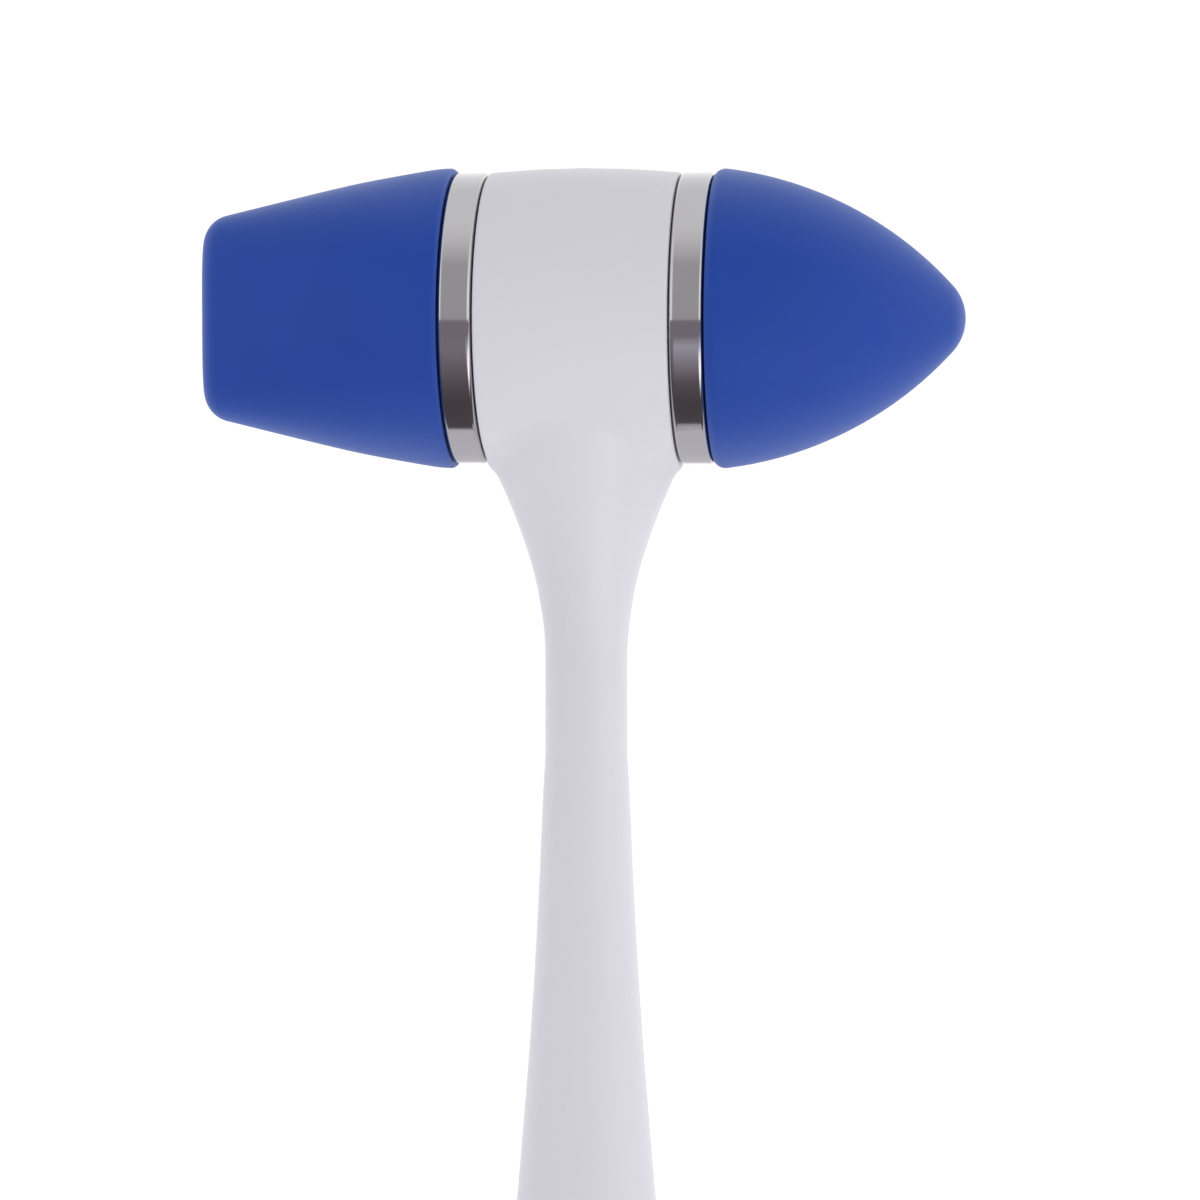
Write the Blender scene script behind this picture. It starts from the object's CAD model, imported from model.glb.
import math

import bpy
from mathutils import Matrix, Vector


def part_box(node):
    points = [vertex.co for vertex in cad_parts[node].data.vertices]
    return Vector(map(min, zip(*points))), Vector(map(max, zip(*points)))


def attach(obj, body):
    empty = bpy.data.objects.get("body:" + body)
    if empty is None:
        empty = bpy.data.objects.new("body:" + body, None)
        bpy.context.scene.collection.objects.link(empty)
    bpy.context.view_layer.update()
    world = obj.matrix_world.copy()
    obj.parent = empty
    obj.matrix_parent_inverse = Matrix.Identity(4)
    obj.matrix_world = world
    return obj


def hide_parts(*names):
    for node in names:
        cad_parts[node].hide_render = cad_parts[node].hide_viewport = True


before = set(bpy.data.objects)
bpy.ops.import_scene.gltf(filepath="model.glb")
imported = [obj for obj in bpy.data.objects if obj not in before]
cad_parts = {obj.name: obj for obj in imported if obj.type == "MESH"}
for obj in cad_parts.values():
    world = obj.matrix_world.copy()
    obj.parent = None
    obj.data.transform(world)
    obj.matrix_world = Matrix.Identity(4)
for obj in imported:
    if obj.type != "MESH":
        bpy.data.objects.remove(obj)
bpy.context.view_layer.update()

bl_info = {
    "name": "Reflex Hammer",
    "version": (1, 0, 0),
    "blender": (4, 5, 0),
    "location": "View3D > Sidebar > Reflex Hammer",
    "description": "Finishes a two-headed reflex hammer and sets it up for a studio picture",
    "category": "Object",
}

HEAD_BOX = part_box("head_core")
HEAD_CENTRE = (Vector(HEAD_BOX[0]) + Vector(HEAD_BOX[1])) / 2

# All lengths are in metres.
MERGE_GAP = 0.000002           # doubles closer than this are one point
SMOOTH_ANGLE = math.radians(28)   # edges sharper than this stay sharp

# The thread on a stud. The half widths are shares of its pitch.
THREAD_SINK = 0.0001           # its foot lies this far inside the stud
THREAD_START = 0.0006          # from the stud's tip to the first crest
THREAD_STEPS = 48              # faces round one turn
CREST_HALF_WIDTH = 0.07
FOOT_HALF_WIDTH = 0.42

# A spacer ring.
ROUNDING_STEPS = 8             # faces across a rounded edge
FLAT_HOLD = 0.00004            # from a rounding to the points that keep its neighbours flat

# A hub, from its stud's tip to the mushroom in the rubber.
STUD_LENGTH = 0.00815
TIP_CHAMFER = 0.0004
RELIEF_START = 0.0012          # the relief under the spigot starts this far from it
RELIEF_SLOPE = 0.0003
RELIEF_DEPTH = 0.0001
RELIEF_FILLET = 0.0002
SPIGOT_RADIUS = 0.0110
FLANGE_THICKNESS = 0.0026
WAIST_LENGTH = 0.0034
WAIST_RADIUS = 0.0060
MUSHROOM_LENGTH = 0.0026
MUSHROOM_RADIUS = 0.0080
HUB_BEVEL = 0.00025

# The stage.
FLOOR_COLOUR = (0.90, 0.90, 0.905)
FLOOR_ROUGHNESS = 0.85
FLOOR_GLOW = 0.26
CARD_HEIGHT = 0.002            # above the floor
CARD_BEHIND = 0.6              # how far the card reaches behind the hammer
SOFT_BOX_PLACE = Vector((0.95, -0.60, -0.05))   # from the middle of the head
SOFT_BOX_SIZE = (0.7, 0.9)
AIM_ASIDE = 0.001373           # the camera aims this far right of the middle of the head
AIM_BELOW = 0.02814            # and this far below it
SENSOR_WIDTH = 36              # in millimetres
NEAREST, FARTHEST = 0.01, 100  # what the camera can see

# A Mix node's sockets share their names, so they are told apart by number.
FIRST_NUMBER, SECOND_NUMBER, MIXED_NUMBER = 2, 3, 0
FIRST_COLOUR, SECOND_COLOUR, MIXED_COLOUR = 6, 7, 2
FACTOR = 0


# ---- settings ----

class HammerFinish(bpy.types.PropertyGroup):
    rubber_colour: bpy.props.FloatVectorProperty(
        name="Rubber", description="Colour of the two rubber buffers",
        default=(0.0070, 0.0530, 0.352), subtype="COLOR", size=3, min=0, max=1)
    bloom_colour: bpy.props.FloatVectorProperty(
        name="Rubber bloom", description="Colour the rubber fades to where it turns away",
        default=(0.064, 0.134, 0.458), subtype="COLOR", size=3, min=0, max=1)
    plastic_colour: bpy.props.FloatVectorProperty(
        name="Plastic", description="Colour of the moulded handle",
        default=(0.700, 0.694, 0.752), subtype="COLOR", size=3, min=0, max=1)
    ring_colour: bpy.props.FloatVectorProperty(
        name="Polished steel", description="Tint of the two spacer rings",
        default=(0.600, 0.590, 0.605), subtype="COLOR", size=3, min=0, max=1)
    steel_colour: bpy.props.FloatVectorProperty(
        name="Turned steel", description="Tint of the hubs, core, rod and fixings",
        default=(0.520, 0.520, 0.530), subtype="COLOR", size=3, min=0, max=1)
    grain_size: bpy.props.FloatProperty(
        name="Grain size", description="Size of the fine grain on plastic and rubber",
        default=0.0006, unit="LENGTH", min=0.0001, max=0.005)


class HammerSizes(bpy.types.PropertyGroup):
    thread_pitch: bpy.props.FloatProperty(
        name="Thread pitch", description="Distance between two crests of the stud's thread",
        default=0.00125, unit="LENGTH", min=0.0005, max=0.003)
    thread_crest: bpy.props.FloatProperty(
        name="Thread crest", description="Radius of the stud over its thread",
        default=0.00398, unit="LENGTH", min=0.001, max=0.01)
    thread_turns: bpy.props.IntProperty(
        name="Thread turns", description="Whole turns of thread on a stud",
        default=5, min=1, max=20)
    thread_depth: bpy.props.FloatProperty(
        name="Thread depth", description="Height of a crest above the root of the thread",
        default=0.00068, unit="LENGTH", min=0.0002, max=0.002)
    parting_width: bpy.props.FloatProperty(
        name="Parting line width",
        description="Width of the welded line between the handle's shells",
        default=0.00012, unit="LENGTH", min=0.00002, max=0.0005)
    ring_bore: bpy.props.FloatProperty(
        name="Ring bore", description="Radius of the hole in a spacer ring",
        default=0.01105, unit="LENGTH", min=0.005, max=0.02)
    bore_chamfer: bpy.props.FloatProperty(
        name="Bore chamfer", description="Chamfer at either end of a ring's hole",
        default=0.0003, unit="LENGTH", min=0.00005, max=0.001)
    ring_edge: bpy.props.FloatProperty(
        name="Ring edge", description="Polished radius on a ring's outer edges",
        default=0.00045, unit="LENGTH", min=0.0001, max=0.0015)
    ring_steps: bpy.props.IntProperty(
        name="Ring steps", description="Number of faces round a spacer ring",
        default=288, min=48, max=720)
    turning_steps: bpy.props.IntProperty(
        name="Turning steps", description="Number of faces round a turned piece",
        default=96, min=24, max=256)


class HammerStage(bpy.types.PropertyGroup):
    camera_distance: bpy.props.FloatProperty(
        name="Camera distance", description="Distance from the camera to the middle of the head",
        default=0.4756, unit="LENGTH", min=0.1, max=5)
    camera_azimuth: bpy.props.FloatProperty(
        name="Camera angle",
        description="How far the camera stands round towards the pointed head",
        default=math.radians(6.7), subtype="ANGLE")
    camera_lens: bpy.props.FloatProperty(
        name="Lens", description="Focal length for a 36 mm wide sensor, in millimetres",
        default=142.68, min=20, max=400)
    floor_size: bpy.props.FloatProperty(
        name="Floor size", description="Side of the square floor",
        default=24.0, unit="LENGTH", min=1)
    left_wall: bpy.props.FloatProperty(
        name="Left wall", description="Brightness of the tent on the left",
        default=1.0, min=0, max=10)
    right_wall: bpy.props.FloatProperty(
        name="Right wall", description="Brightness of the tent on the right",
        default=1.15, min=0, max=10)
    roof: bpy.props.FloatProperty(
        name="Roof", description="Brightness of the tent's roof", default=0.82, min=0, max=10)
    lamp_brightness: bpy.props.FloatProperty(
        name="Lamp brightness", description="Brightness of the soft box",
        default=0.6, min=0, max=10)


# ---- small helpers ----

def clear_selection():
    """Leaves nothing selected and no object in edit mode."""
    if bpy.context.object and bpy.context.object.mode != "OBJECT":
        bpy.ops.object.mode_set(mode="OBJECT")
    bpy.ops.object.select_all(action="DESELECT")


def set_inputs(node, **inputs):
    """Sets a node's inputs, whose spaces are written as underlines."""
    for key, value in inputs.items():
        node.inputs[key.replace("_", " ")].default_value = value


def add_node(tree, kind, name, **inputs):
    """Adds one shader node, names it and sets its inputs."""
    made = tree.nodes.new(kind)
    made.name = made.label = name
    set_inputs(made, **inputs)
    return made


def join(tree, start, socket, end, target):
    """Links an output of one node to an input of another."""
    tree.links.new(start.outputs[socket], end.inputs[target])


def maths(tree, name, operation, first=None, second=None):
    """A maths node whose inputs are numbers or (node, output) pairs."""
    made = add_node(tree, "ShaderNodeMath", name)
    made.operation = operation
    for index, value in enumerate((first, second)):
        if isinstance(value, tuple):
            join(tree, *value, made, index)
        elif value is not None:
            made.inputs[index].default_value = value
    return made


def new_group(name, inputs, outputs):
    """Starts a shader node group with named inputs and outputs."""
    group = bpy.data.node_groups.new(name, "ShaderNodeTree")
    add_socket = group.interface.new_socket
    for label, value in inputs.items():
        socket = add_socket(label, in_out="INPUT", socket_type="NodeSocketFloat")
        socket.default_value = value
    for label in outputs:
        add_socket(label, in_out="OUTPUT", socket_type="NodeSocketFloat")
    entry = group.nodes.new("NodeGroupInput")
    leave = group.nodes.new("NodeGroupOutput")
    return group, entry, leave


# ---- shared effects ----

def grain_group():
    """Fine moulded grain: a height for the bump, and slow patches for colour and gloss."""
    if "Moulded Grain" in bpy.data.node_groups:
        return bpy.data.node_groups["Moulded Grain"]
    group, entry, leave = new_group(
        "Moulded Grain", {"Grain Scale": 1600.0, "Patch Scale": 60.0}, ("Height", "Patches"))
    place = add_node(group, "ShaderNodeTexCoord", "Place")
    fine = add_node(group, "ShaderNodeTexNoise", "Fine grain", Detail=3.0, Roughness=0.6)
    patch = add_node(group, "ShaderNodeTexNoise", "Slow patches", Detail=4.0, Roughness=0.55)
    join(group, place, "Object", fine, "Vector")
    join(group, place, "Object", patch, "Vector")
    join(group, entry, "Grain Scale", fine, "Scale")
    join(group, entry, "Patch Scale", patch, "Scale")
    join(group, fine, "Fac", leave, "Height")
    join(group, patch, "Fac", leave, "Patches")
    return group


def turning_group():
    """Fine lines left by a lathe round the head's axis, and the smudges of fingers."""
    if "Turning Lines" in bpy.data.node_groups:
        return bpy.data.node_groups["Turning Lines"]
    group, entry, leave = new_group(
        "Turning Lines", {"Lines per Metre": 9000.0, "Smudge Scale": 90.0},
        ("Height", "Smudges"))
    place = add_node(group, "ShaderNodeTexCoord", "Place")
    centre = add_node(group, "ShaderNodeMapping", "From the head's axis",
                      Location=tuple(-HEAD_CENTRE))
    parts = add_node(group, "ShaderNodeSeparateXYZ", "Along and across")
    join(group, place, "Object", centre, "Vector")
    join(group, centre, "Vector", parts, "Vector")
    y_square = maths(group, "Across squared", "MULTIPLY", (parts, "Y"), (parts, "Y"))
    z_square = maths(group, "Up squared", "MULTIPLY", (parts, "Z"), (parts, "Z"))
    both = maths(group, "Sum of squares", "ADD", (y_square, 0), (z_square, 0))
    radius = maths(group, "Radius", "SQRT", (both, 0))
    line_place = add_node(group, "ShaderNodeCombineXYZ", "Along and radius")
    join(group, parts, "X", line_place, "X")
    join(group, radius, 0, line_place, "Y")
    lines = add_node(group, "ShaderNodeTexNoise", "Tool lines", Detail=2.0, Roughness=0.7)
    join(group, line_place, "Vector", lines, "Vector")
    join(group, entry, "Lines per Metre", lines, "Scale")
    smudge = add_node(group, "ShaderNodeTexNoise", "Finger smudges", Detail=5.0, Roughness=0.6)
    join(group, place, "Object", smudge, "Vector")
    join(group, entry, "Smudge Scale", smudge, "Scale")
    join(group, lines, "Fac", leave, "Height")
    join(group, smudge, "Fac", leave, "Smudges")
    return group


def parting_group():
    """The fine welded line where the two shells of the handle meet, as a mask."""
    if "Parting Line" in bpy.data.node_groups:
        return bpy.data.node_groups["Parting Line"]
    group, entry, leave = new_group("Parting Line", {"Half Width": 0.00006}, ("Line",))
    place = add_node(group, "ShaderNodeTexCoord", "Place")
    parts = add_node(group, "ShaderNodeSeparateXYZ", "Place parts")
    join(group, place, "Object", parts, "Vector")
    away = maths(group, "Distance from the joint", "ABSOLUTE", (parts, "Y"))
    line = add_node(group, "ShaderNodeMapRange", "Soft sided line", To_Min=1.0, To_Max=0.0)
    line.interpolation_type = "SMOOTHSTEP"
    join(group, away, 0, line, "Value")
    join(group, entry, "Half Width", line, "From Max")
    join(group, line, "Result", leave, "Line")
    return group


# ---- helpers for materials ----

def start_material(name):
    """A new material with an empty Principled shader."""
    material = bpy.data.materials.new(name)
    material.use_nodes = True
    tree = material.node_tree
    tree.nodes.clear()
    shader = add_node(tree, "ShaderNodeBsdfPrincipled", "Surface")
    output = add_node(tree, "ShaderNodeOutputMaterial", "Output")
    join(tree, shader, "BSDF", output, "Surface")
    return material, tree, shader


def add_group(tree, group, name, **inputs):
    """Places a shared effect in a material with its own values."""
    made = add_node(tree, "ShaderNodeGroup", name)
    made.node_tree = group
    set_inputs(made, **inputs)
    return made


def range_node(tree, name, source, output, low=0.0, high=1.0, start=0.3, end=0.7):
    """Turns a value between start and end, where most of a noise lies, into low to high."""
    made = add_node(tree, "ShaderNodeMapRange", name,
                    From_Min=start, From_Max=end, To_Min=low, To_Max=high)
    join(tree, source, output, made, "Value")
    return made


def two_tone(tree, name, source, output, first, second):
    """Mixes two colours by a mask."""
    mix = add_node(tree, "ShaderNodeMix", name)
    mix.data_type = "RGBA"
    mix.inputs[FIRST_COLOUR].default_value = (*first, 1)
    mix.inputs[SECOND_COLOUR].default_value = (*second, 1)
    join(tree, source, output, mix, FACTOR)
    return mix


def two_tone_over(tree, name, source, output, under, second):
    """Mixes a second colour over what another two-tone node gives."""
    mix = two_tone(tree, name, source, output, (0, 0, 0), second)
    join(tree, under, MIXED_COLOUR, mix, FIRST_COLOUR)
    return mix


def tinted(colour, amount):
    """A colour made lighter or darker by a share."""
    return tuple(min(1.0, channel * amount) for channel in colour)


def varied(tree, name, source, output, colour, darkest, lightest):
    """Varies a colour by a mask, between two shares of it."""
    return two_tone(tree, name, source, output, tinted(colour, darkest), tinted(colour, lightest))


def colour_ramp(tree, name, first, steps, last):
    """A ramp from the first (position, colour) stop over the steps to the last."""
    made = add_node(tree, "ShaderNodeValToRGB", name)
    stops = made.color_ramp.elements
    for stop, (position, colour) in zip(stops, (first, last)):
        stop.position, stop.color = position, (*colour, 1)
    for position, colour in steps:
        stops.new(position).color = (*colour, 1)
    return made


def bump_into(tree, source, output, shader, distance):
    """Bumps a shader by a height mask."""
    bump = add_node(tree, "ShaderNodeBump", "Relief", Distance=distance)
    join(tree, source, output, bump, "Height")
    join(tree, bump, "Normal", shader, "Normal")


# ---- finishes ----

def plastic_finish(finish, sizes):
    """White moulded plastic: satin, with a fine grain, faint flow patches and a welded joint."""
    if "Moulded White Plastic" in bpy.data.materials:
        return bpy.data.materials["Moulded White Plastic"]
    material, tree, shader = start_material("Moulded White Plastic")
    grain = add_group(tree, grain_group(), "Grain",
                      Grain_Scale=1 / finish.grain_size, Patch_Scale=45.0)
    seam = add_group(tree, parting_group(), "Welded joint", Half_Width=sizes.parting_width / 2)
    colour = varied(tree, "Flow patches", grain, "Patches", finish.plastic_colour,
                    darkest=0.985, lightest=1.015)
    shown = two_tone_over(tree, "Darker in the joint", seam, "Line", colour,
                          tinted(finish.plastic_colour, 0.62))
    join(tree, shown, MIXED_COLOUR, shader, "Base Color")
    gloss = range_node(tree, "Handled gloss", grain, "Patches", low=0.30, high=0.40)
    join(tree, gloss, "Result", shader, "Roughness")
    groove = maths(tree, "Joint depth", "MULTIPLY", (seam, "Line"), 2.5)
    relief = maths(tree, "Grain less joint", "SUBTRACT", (grain, "Height"), (groove, 0))
    bump_into(tree, relief, 0, shader, distance=0.000012)
    set_inputs(shader, Specular_IOR_Level=0.5)
    return material


def rubber_finish(finish):
    """Blue rubber: matt, with a fine grain, and paler where it turns away."""
    if "Blue Rubber" in bpy.data.materials:
        return bpy.data.materials["Blue Rubber"]
    material, tree, shader = start_material("Blue Rubber")
    grain = add_group(tree, grain_group(), "Grain",
                      Grain_Scale=1 / finish.grain_size, Patch_Scale=120.0)
    colour = varied(tree, "Batch variation", grain, "Patches", finish.rubber_colour,
                    darkest=0.94, lightest=1.06)
    facing = add_node(tree, "ShaderNodeLayerWeight", "Facing", Blend=0.5)
    edge = range_node(tree, "Towards the edge", facing, "Facing", start=0.12, end=0.95)
    bloom = maths(tree, "Bloom", "POWER", (edge, "Result"), 1.2)
    bloomed = two_tone_over(tree, "Pale bloom at the edge", bloom, 0, colour,
                            finish.bloom_colour)
    join(tree, bloomed, MIXED_COLOUR, shader, "Base Color")
    gloss = range_node(tree, "Matt and rubbed", grain, "Patches", low=0.46, high=0.56)
    join(tree, gloss, "Result", shader, "Roughness")
    bump_into(tree, grain, "Height", shader, distance=0.000018)
    set_inputs(shader, Specular_IOR_Level=0.28, Sheen_Weight=0.04, Sheen_Roughness=0.30,
               Sheen_Tint=(0.55, 0.70, 1.0, 1))
    return material


def ring_finish(finish):
    """Polished steel with hair-fine turning lines and faint finger smudges."""
    if "Polished Steel" in bpy.data.materials:
        return bpy.data.materials["Polished Steel"]
    material, tree, shader = start_material("Polished Steel")
    lines = add_group(tree, turning_group(), "Lathe lines",
                      Lines_per_Metre=12000.0, Smudge_Scale=110.0)
    colour = varied(tree, "Steel tint", lines, "Smudges", finish.ring_colour,
                    darkest=0.97, lightest=1.02)
    join(tree, colour, MIXED_COLOUR, shader, "Base Color")
    gloss = range_node(tree, "Smudged polish", lines, "Smudges", low=0.07, high=0.12)
    join(tree, gloss, "Result", shader, "Roughness")
    bump_into(tree, lines, "Height", shader, distance=0.0000015)
    set_inputs(shader, Metallic=1.0)
    return material


def turned_finish(finish):
    """Plain turned steel with visible tool lines."""
    if "Turned Steel" in bpy.data.materials:
        return bpy.data.materials["Turned Steel"]
    material, tree, shader = start_material("Turned Steel")
    lines = add_group(tree, turning_group(), "Lathe lines",
                      Lines_per_Metre=5000.0, Smudge_Scale=150.0)
    colour = varied(tree, "Oil film", lines, "Smudges", finish.steel_colour,
                    darkest=0.86, lightest=1.06)
    join(tree, colour, MIXED_COLOUR, shader, "Base Color")
    gloss = range_node(tree, "Cut surface", lines, "Height", low=0.24, high=0.40)
    join(tree, gloss, "Result", shader, "Roughness")
    bump_into(tree, lines, "Height", shader, distance=0.000008)
    set_inputs(shader, Metallic=1.0)
    return material


# ---- modelling ----

def trace_outline(name, outline, centre):
    """Draws an outline of (along, radius) points from a centre, by extruding a single point."""
    clear_selection()
    bpy.ops.mesh.primitive_plane_add(size=0.001, location=centre)
    piece = bpy.context.object
    piece.name = piece.data.name = name
    bpy.ops.object.mode_set(mode="EDIT")
    bpy.ops.mesh.select_all(action="SELECT")
    bpy.ops.mesh.merge(type="CENTER")
    bpy.ops.transform.translate(value=(outline[0][0], 0, outline[0][1]))
    for before, after in zip(outline, outline[1:]):
        step = (after[0] - before[0], 0, after[1] - before[1])
        bpy.ops.mesh.extrude_region_move(TRANSFORM_OT_translate={"value": step})
    bpy.ops.mesh.select_all(action="SELECT")
    bpy.ops.mesh.remove_doubles(threshold=MERGE_GAP)
    return piece


def close_piece(piece):
    """Merges doubles, turns the faces outwards and leaves the object at the origin."""
    bpy.ops.mesh.select_all(action="SELECT")
    bpy.ops.mesh.remove_doubles(threshold=MERGE_GAP)
    bpy.ops.mesh.normals_make_consistent(inside=False)
    bpy.ops.object.mode_set(mode="OBJECT")
    bpy.ops.object.transform_apply(location=True, rotation=True, scale=True)
    return piece


def turn_profile(name, outline, centre, steps):
    """Turns a closed piece about the head's axis from its outline as (along, radius)."""
    piece = trace_outline(name, outline, centre)
    bpy.ops.mesh.spin(steps=steps, angle=math.tau, center=centre, axis=(1, 0, 0))
    return close_piece(piece)


def thread_ridge(name, centre, start, sizes):
    """A right-hand thread ridge wound round the head's axis, starting at a place along it."""
    pitch, crest = sizes.thread_pitch, sizes.thread_crest
    foot = crest - sizes.thread_depth - THREAD_SINK
    outline = (
        (start - FOOT_HALF_WIDTH * pitch, foot),
        (start - CREST_HALF_WIDTH * pitch, crest),
        (start + CREST_HALF_WIDTH * pitch, crest),
        (start + FOOT_HALF_WIDTH * pitch, foot),
        (start - FOOT_HALF_WIDTH * pitch, foot),
    )
    piece = trace_outline(name, outline, centre)
    bpy.ops.object.mode_set(mode="OBJECT")
    winding = piece.modifiers.new("Winding", "SCREW")
    winding.axis = "X"
    winding.angle = math.tau
    winding.screw_offset = pitch
    winding.iterations = sizes.thread_turns
    winding.steps = winding.render_steps = THREAD_STEPS
    bpy.ops.object.modifier_apply(modifier=winding.name)
    bpy.ops.object.mode_set(mode="EDIT")
    bpy.ops.mesh.select_all(action="SELECT")
    bpy.ops.mesh.fill_holes(sides=4)    # the ridge's two ends
    return close_piece(piece)


def other_side(piece, name, centre):
    """Copies a finished piece and turns the copy half a turn about the upright line."""
    clear_selection()
    piece.select_set(True)
    bpy.context.view_layer.objects.active = piece
    bpy.ops.object.duplicate(linked=False)
    copy = bpy.context.object
    copy.name = copy.data.name = name
    bpy.ops.object.mode_set(mode="EDIT")
    bpy.ops.mesh.select_all(action="SELECT")
    bpy.ops.transform.rotate(value=math.pi, orient_axis="Z", center_override=tuple(centre))
    bpy.ops.object.mode_set(mode="OBJECT")
    return copy


def quarter_turn(centre, radius, first):
    """Points of a rounding, a quarter turn clockwise from an angle."""
    step = math.pi / 2 / ROUNDING_STEPS
    angles = [first - step * index for index in range(ROUNDING_STEPS + 1)]
    return [(centre[0] + radius * math.cos(angle), centre[1] + radius * math.sin(angle))
            for angle in angles]


def ring_outline(node, sizes):
    """Outline of a spacer ring from its CAD box: chamfered bore and rounded outer edges."""
    low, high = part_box(node)
    near, far = low[0], high[0]
    radius = (high[2] - low[2]) / 2
    bore, chamfer, edge = sizes.ring_bore, sizes.bore_chamfer, sizes.ring_edge
    flat = edge + FLAT_HOLD
    return [
        (near + chamfer, bore), (near, bore + chamfer), (near, radius - flat),
        *quarter_turn((near + edge, radius - edge), edge, math.pi),
        (near + flat, radius), (far - flat, radius),
        *quarter_turn((far - edge, radius - edge), edge, math.pi / 2),
        (far, radius - flat), (far, bore + chamfer), (far - chamfer, bore),
        (near + chamfer, bore),
    ]


def hub_outline(node, root):
    """Outline of a hub from its CAD box: stud with a relief, spigot, flange, waist, mushroom."""
    low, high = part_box(node)
    tip = min(abs(low[0]), abs(high[0]))
    end = max(abs(low[0]), abs(high[0]))
    flange = (high[2] - low[2]) / 2
    mushroom = end - MUSHROOM_LENGTH
    waist = mushroom - WAIST_LENGTH
    face = waist - FLANGE_THICKNESS
    seat = tip + STUD_LENGTH
    relief = seat - RELIEF_START
    bevel = HUB_BEVEL
    return [
        (tip, 0), (tip, root - TIP_CHAMFER), (tip + TIP_CHAMFER, root), (relief, root),
        (relief + RELIEF_SLOPE, root - RELIEF_DEPTH),
        (seat - RELIEF_FILLET, root - RELIEF_DEPTH), (seat, root + RELIEF_FILLET),
        (seat, SPIGOT_RADIUS - bevel), (seat + bevel, SPIGOT_RADIUS), (face, SPIGOT_RADIUS),
        (face, flange - bevel), (face + bevel, flange),
        (waist - bevel, flange), (waist, flange - bevel), (waist, WAIST_RADIUS),
        (mushroom, WAIST_RADIUS), (mushroom, MUSHROOM_RADIUS - bevel),
        (mushroom + bevel, MUSHROOM_RADIUS), (end - bevel, MUSHROOM_RADIUS),
        (end, MUSHROOM_RADIUS - bevel), (end, 0),
    ]


def finish_piece(piece, material, node, body):
    """Smooths a piece, gives it its material and puts it in its CAD node's place."""
    clear_selection()
    piece.select_set(True)
    bpy.context.view_layer.objects.active = piece
    bpy.ops.object.shade_smooth_by_angle(angle=SMOOTH_ANGLE)
    piece.data.materials.clear()
    piece.data.materials.append(material)
    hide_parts(node)
    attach(piece, body)


def dress(names, material):
    """Gives the same material to several CAD nodes."""
    for name in names:
        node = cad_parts[name]
        for slot in node.material_slots:
            slot.material = material


# ---- stage ----

def soft_box(name, place, target, size, radiance):
    """An area lamp of a given brightness, aimed at a point. Polished steel doesn't mirror it."""
    bpy.ops.object.light_add(type="AREA", location=place)
    lamp = bpy.context.object
    lamp.name = lamp.data.name = name
    lamp.data.shape = "RECTANGLE"
    lamp.data.size, lamp.data.size_y = size
    lamp.data.energy = radiance * math.pi * size[0] * size[1]
    lamp.rotation_euler = (target - place).to_track_quat("-Z", "Y").to_euler()
    lamp.visible_glossy = False


def card_finish():
    """What the polished rings see below them: dark towards the camera, pale under the hammer."""
    material, tree, shader = start_material("Reflected Card")
    place = add_node(tree, "ShaderNodeTexCoord", "Place")
    parts = add_node(tree, "ShaderNodeSeparateXYZ", "Place parts")
    join(tree, place, "Object", parts, "Vector")
    along = range_node(tree, "Towards the camera", parts, "Y", start=-0.5, end=0.1)
    greys = ((0.17, 0.235), (0.42, 0.175), (0.57, 0.12), (0.68, 0.085), (0.86, 0.10))
    fade = colour_ramp(
        tree, "Dark towards the camera", (0.0, (0.25, 0.22, 0.25)),
        [(position, (grey, grey * 0.86, grey * 0.97)) for position, grey in greys],
        (0.875, (0.67, 0.65, 0.69)))
    join(tree, along, "Result", fade, "Fac")

    aside = range_node(tree, "Right of the hammer", parts, "X", start=0.05, end=0.12)
    not_far = range_node(tree, "Not far in front", parts, "Y", start=-0.62, end=-0.45)
    not_near = range_node(tree, "Not below", parts, "Y", low=1.0, high=0.0,
                          start=-0.20, end=-0.10)
    window = maths(tree, "Strip in front", "MULTIPLY", (not_far, "Result"), (not_near, "Result"))
    pale = maths(tree, "Pale paper on the right", "MULTIPLY", (aside, "Result"), (window, 0))
    paper = two_tone(tree, "Dark front, pale side", pale, 0, (0, 0, 0), (1.9, 1.88, 1.92))
    join(tree, fade, "Color", paper, FIRST_COLOUR)

    slant = maths(tree, "Slanted edge", "MULTIPLY_ADD", (parts, "Y"), -0.1)
    join(tree, parts, "X", slant, 2)
    inside = range_node(tree, "Right of the edge", slant, 0, start=-0.024, end=-0.004)
    offset = maths(tree, "From the patch", "SUBTRACT", (parts, "Y"), -0.56)
    reach = maths(tree, "Distance from the patch", "ABSOLUTE", (offset, 0))
    near = range_node(tree, "Soft patch", reach, 0, low=1.0, high=0.0, start=0.0, end=0.36)
    patch = maths(tree, "Paler patch", "MULTIPLY", (inside, "Result"), (near, "Result"))
    both = two_tone_over(tree, "Card with patch", patch, 0, paper, (0.48, 0.46, 0.54))
    join(tree, both, MIXED_COLOUR, shader, "Emission Color")
    set_inputs(shader, Emission_Strength=1.0, Base_Color=(0, 0, 0, 1), Specular_IOR_Level=0)
    return material


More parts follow.
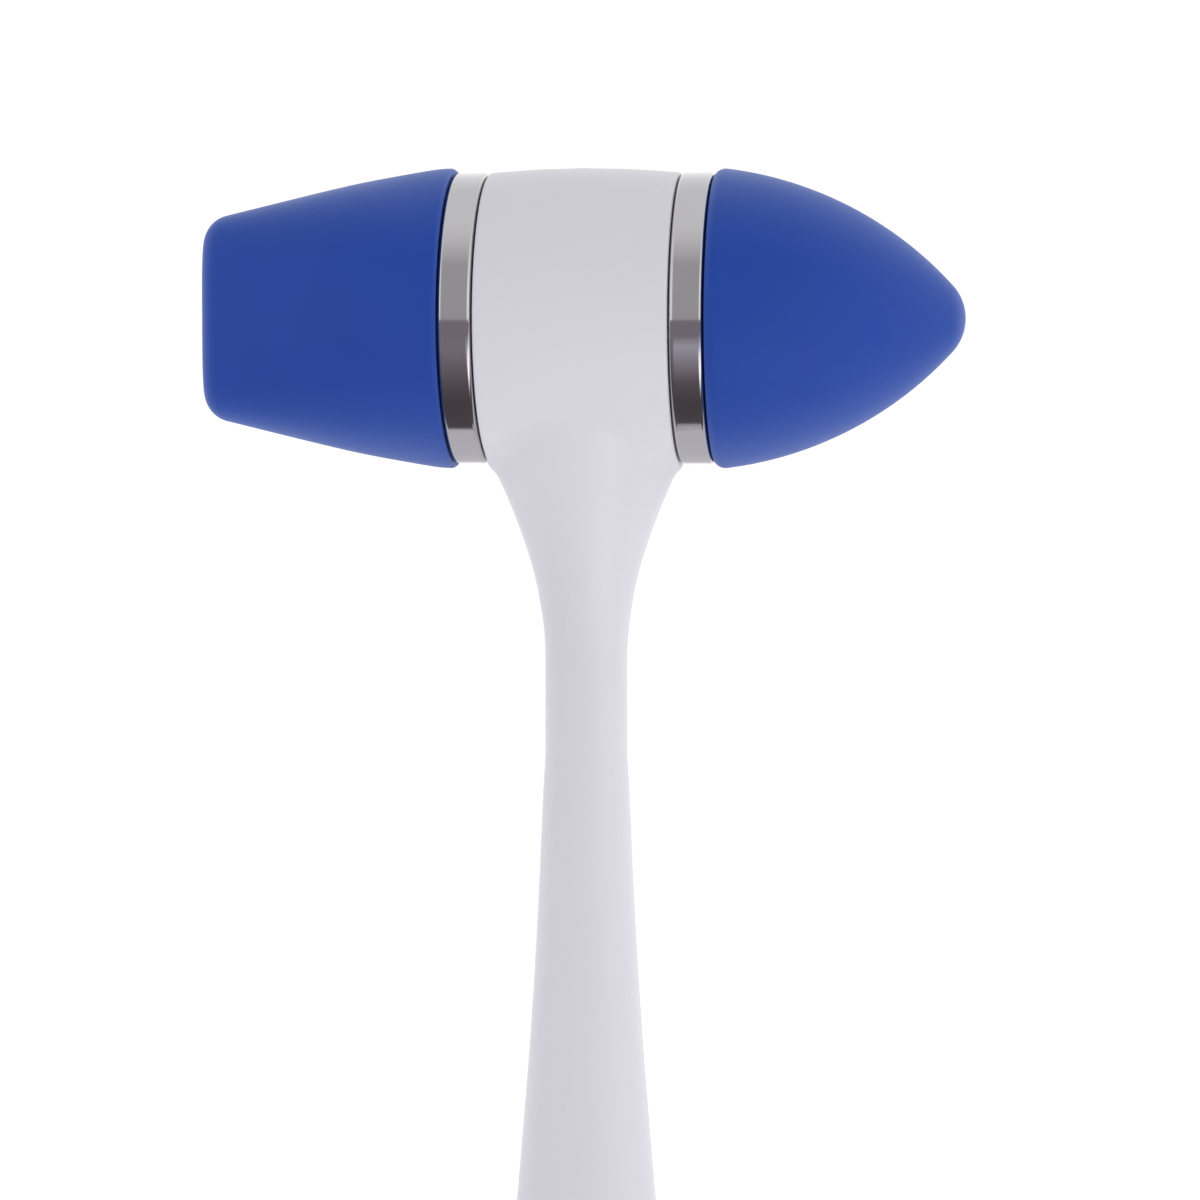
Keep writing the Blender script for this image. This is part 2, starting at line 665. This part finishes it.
def studio_world(stage):
    """A white tent, brighter on the right, with a dimmer slot at the front for the camera."""
    world = bpy.data.worlds.new("Studio")
    bpy.context.scene.world = world
    world.use_nodes = True
    tree = world.node_tree
    tree.nodes.clear()
    place = add_node(tree, "ShaderNodeTexCoord", "Direction")
    parts = add_node(tree, "ShaderNodeSeparateXYZ", "Direction parts")
    join(tree, place, "Generated", parts, "Vector")
    sides = range_node(tree, "Left to right", parts, "X",
                       low=stage.left_wall, high=stage.right_wall, start=-1, end=1)
    height = range_node(tree, "Roof", parts, "Z", start=0.35, end=0.85)
    walls = add_node(tree, "ShaderNodeMix", "Walls and roof")
    walls.inputs[SECOND_NUMBER].default_value = stage.roof
    join(tree, height, "Result", walls, FACTOR)
    join(tree, sides, "Result", walls, FIRST_NUMBER)

    greys = ((0.68, 0.47), (0.80, 0.62), (0.94, 0.73))
    slot_height = colour_ramp(
        tree, "Slot by height", (0.0, (0.46, 0.44, 0.46)),
        [(position, (grey, grey * 0.98, grey)) for position, grey in greys],
        (1.0, (0.84, 0.83, 0.85)))
    join(tree, parts, "Z", slot_height, "Fac")
    front = range_node(tree, "Front", parts, "Y", low=1.0, high=0.0, start=-0.55, end=-0.15)
    across = maths(tree, "Across", "ABSOLUTE", (parts, "X"))
    narrow = range_node(tree, "Slot width", across, 0, low=1.0, high=0.0, start=0.28, end=0.60)
    slot = maths(tree, "Slot", "MULTIPLY", (front, "Result"), (narrow, "Result"))
    tent = add_node(tree, "ShaderNodeMix", "Tent with slot")
    tent.data_type = "RGBA"
    join(tree, slot, 0, tent, FACTOR)
    join(tree, walls, MIXED_NUMBER, tent, FIRST_COLOUR)
    join(tree, slot_height, "Color", tent, SECOND_COLOUR)

    glow = add_node(tree, "ShaderNodeBackground", "Glow", Strength=1.0)
    join(tree, tent, MIXED_COLOUR, glow, "Color")
    paper = add_node(tree, "ShaderNodeBackground", "Plain backdrop",
                     Color=(1, 1, 1, 1), Strength=1.05)
    seen = add_node(tree, "ShaderNodeLightPath", "Ray")
    shown = add_node(tree, "ShaderNodeMixShader", "Backdrop behind, tent for light")
    join(tree, seen, "Is Camera Ray", shown, 0)
    join(tree, glow, "Background", shown, 1)
    join(tree, paper, "Background", shown, 2)
    output = add_node(tree, "ShaderNodeOutputWorld", "Output")
    join(tree, shown, "Shader", output, "Surface")


def add_floor(size):
    """A plain pale floor."""
    bpy.ops.mesh.primitive_plane_add(size=size, location=(0, 0, 0))
    floor = bpy.context.object
    floor.name = floor.data.name = "floor"
    material, _, shader = start_material("Pale Floor")
    set_inputs(shader, Base_Color=(*FLOOR_COLOUR, 1), Roughness=FLOOR_ROUGHNESS,
               Emission_Color=(1, 1, 1, 1), Emission_Strength=FLOOR_GLOW)
    floor.data.materials.append(material)
    return floor


def add_card(size):
    """A card just over the floor that only reflections see."""
    bpy.ops.mesh.primitive_plane_add(size=1, location=(0, 0, 0))
    card = bpy.context.object
    card.name = card.data.name = "reflected_card"
    card.scale = (size, size / 2 + CARD_BEHIND, 1)
    card.location = (0, (CARD_BEHIND - size / 2) / 2, CARD_HEIGHT)
    bpy.ops.object.transform_apply(location=True, rotation=True, scale=True)
    card.visible_camera = card.visible_diffuse = card.visible_shadow = False
    card.visible_transmission = card.visible_volume_scatter = False
    card.data.materials.append(card_finish())
    return card


def add_camera(centre, stage):
    """The camera, level with the head and aimed a little below it."""
    azimuth = stage.camera_azimuth
    across = Vector((math.cos(azimuth), math.sin(azimuth), 0))
    back = Vector((math.sin(azimuth), -math.cos(azimuth), 0))
    aim = centre + across * AIM_ASIDE - Vector((0, 0, AIM_BELOW))
    place = centre + back * stage.camera_distance
    bpy.ops.object.camera_add(location=place)
    camera = bpy.context.object
    camera.name = camera.data.name = "camera"
    camera.rotation_euler = (aim - place).to_track_quat("-Z", "Y").to_euler()
    camera.data.lens = stage.camera_lens
    camera.data.sensor_width = SENSOR_WIDTH
    camera.data.clip_start = NEAREST
    camera.data.clip_end = FARTHEST
    bpy.context.scene.camera = camera


# ---- operators ----

class HAMMER_OT_handle(bpy.types.Operator):
    """Finish the two moulded shells of the handle"""
    bl_idname = "hammer.handle"
    bl_label = "Handle shells"

    def execute(self, context):
        plastic = plastic_finish(context.scene.hammer_finish, context.scene.hammer_sizes)
        dress(("handle_front_shell", "handle_rear_shell"), plastic)
        return {"FINISHED"}


class HAMMER_OT_buffers(bpy.types.Operator):
    """Finish the blunt and the pointed rubber buffer"""
    bl_idname = "hammer.buffers"
    bl_label = "Rubber buffers"

    def execute(self, context):
        dress(("blunt_buffer", "pointed_buffer"), rubber_finish(context.scene.hammer_finish))
        return {"FINISHED"}


class HAMMER_OT_rings(bpy.types.Operator):
    """Model the two polished spacer rings"""
    bl_idname = "hammer.rings"
    bl_label = "Spacer rings"

    def execute(self, context):
        sizes = context.scene.hammer_sizes
        steel = ring_finish(context.scene.hammer_finish)
        outline = ring_outline("right_ring", sizes)
        right = turn_profile("right_polished_ring", outline, HEAD_CENTRE, sizes.ring_steps)
        left = other_side(right, "left_polished_ring", HEAD_CENTRE)
        finish_piece(right, steel, "right_ring", "right_ring")
        finish_piece(left, steel, "left_ring", "left_ring")
        return {"FINISHED"}


class HAMMER_OT_hubs(bpy.types.Operator):
    """Model both hubs with a real thread on the stud"""
    bl_idname = "hammer.hubs"
    bl_label = "Threaded hubs"

    def execute(self, context):
        sizes = context.scene.hammer_sizes
        steel = turned_finish(context.scene.hammer_finish)
        outline = hub_outline("right_hub", sizes.thread_crest - sizes.thread_depth)
        right = turn_profile("right_threaded_hub", outline, HEAD_CENTRE, sizes.turning_steps)
        tip = outline[0][0]
        ridge = thread_ridge("thread", HEAD_CENTRE, tip + THREAD_START, sizes)
        clear_selection()
        ridge.select_set(True)
        right.select_set(True)
        context.view_layer.objects.active = right
        bpy.ops.object.join()
        left = other_side(right, "left_threaded_hub", HEAD_CENTRE)
        finish_piece(right, steel, "right_hub", "right_head")
        finish_piece(left, steel, "left_hub", "left_head")
        return {"FINISHED"}


class HAMMER_OT_core(bpy.types.Operator):
    """Finish the head core, the rod and its fixings"""
    bl_idname = "hammer.core"
    bl_label = "Core and rod"

    def execute(self, context):
        names = ("head_core", "core_rod", "rod_lock_pin", "anchor_washer", "anchor_nut")
        dress(names, turned_finish(context.scene.hammer_finish))
        return {"FINISHED"}


class HAMMER_OT_stage(bpy.types.Operator):
    """Add the floor, the card, the soft box, the tent and the camera"""
    bl_idname = "hammer.stage"
    bl_label = "Studio"

    def execute(self, context):
        stage = context.scene.hammer_stage
        clear_selection()
        floor = add_floor(stage.floor_size)
        card = add_card(stage.floor_size)

        soft_box("right_soft_box", HEAD_CENTRE + SOFT_BOX_PLACE, HEAD_CENTRE, SOFT_BOX_SIZE,
                 stage.lamp_brightness)
        studio_world(stage)
        add_camera(HEAD_CENTRE, stage)
        context.scene.view_settings.view_transform = "Standard"
        return {"FINISHED"}


class HAMMER_PT_panel(bpy.types.Panel):
    """The hammer's pieces and settings"""
    bl_idname = "HAMMER_PT_panel"
    bl_label = "Reflex Hammer"
    bl_space_type = "VIEW_3D"
    bl_region_type = "UI"
    bl_category = "Reflex Hammer"

    def draw(self, context):
        for settings in SETTINGS:
            group = getattr(context.scene, settings)
            box = self.layout.box()
            for name in group.__annotations__:
                box.prop(group, name)
        for operator in OPERATORS:
            self.layout.operator(operator.bl_idname)


SETTINGS = {
    "hammer_finish": HammerFinish,
    "hammer_sizes": HammerSizes,
    "hammer_stage": HammerStage,
}
OPERATORS = (
    HAMMER_OT_handle, HAMMER_OT_buffers, HAMMER_OT_rings, HAMMER_OT_hubs,
    HAMMER_OT_core, HAMMER_OT_stage,
)


def register():
    for cls in (*SETTINGS.values(), *OPERATORS, HAMMER_PT_panel):
        bpy.utils.register_class(cls)
    for name, cls in SETTINGS.items():
        setattr(bpy.types.Scene, name, bpy.props.PointerProperty(type=cls))


def unregister():
    for name in SETTINGS:
        delattr(bpy.types.Scene, name)
    for cls in (HAMMER_PT_panel, *reversed(OPERATORS), *reversed(SETTINGS.values())):
        bpy.utils.unregister_class(cls)


def main():
    register()
    clear_selection()
    bpy.ops.hammer.handle()
    bpy.ops.hammer.buffers()
    bpy.ops.hammer.rings()
    bpy.ops.hammer.hubs()
    bpy.ops.hammer.core()
    bpy.ops.hammer.stage()


if __name__ == "__main__":
    main()
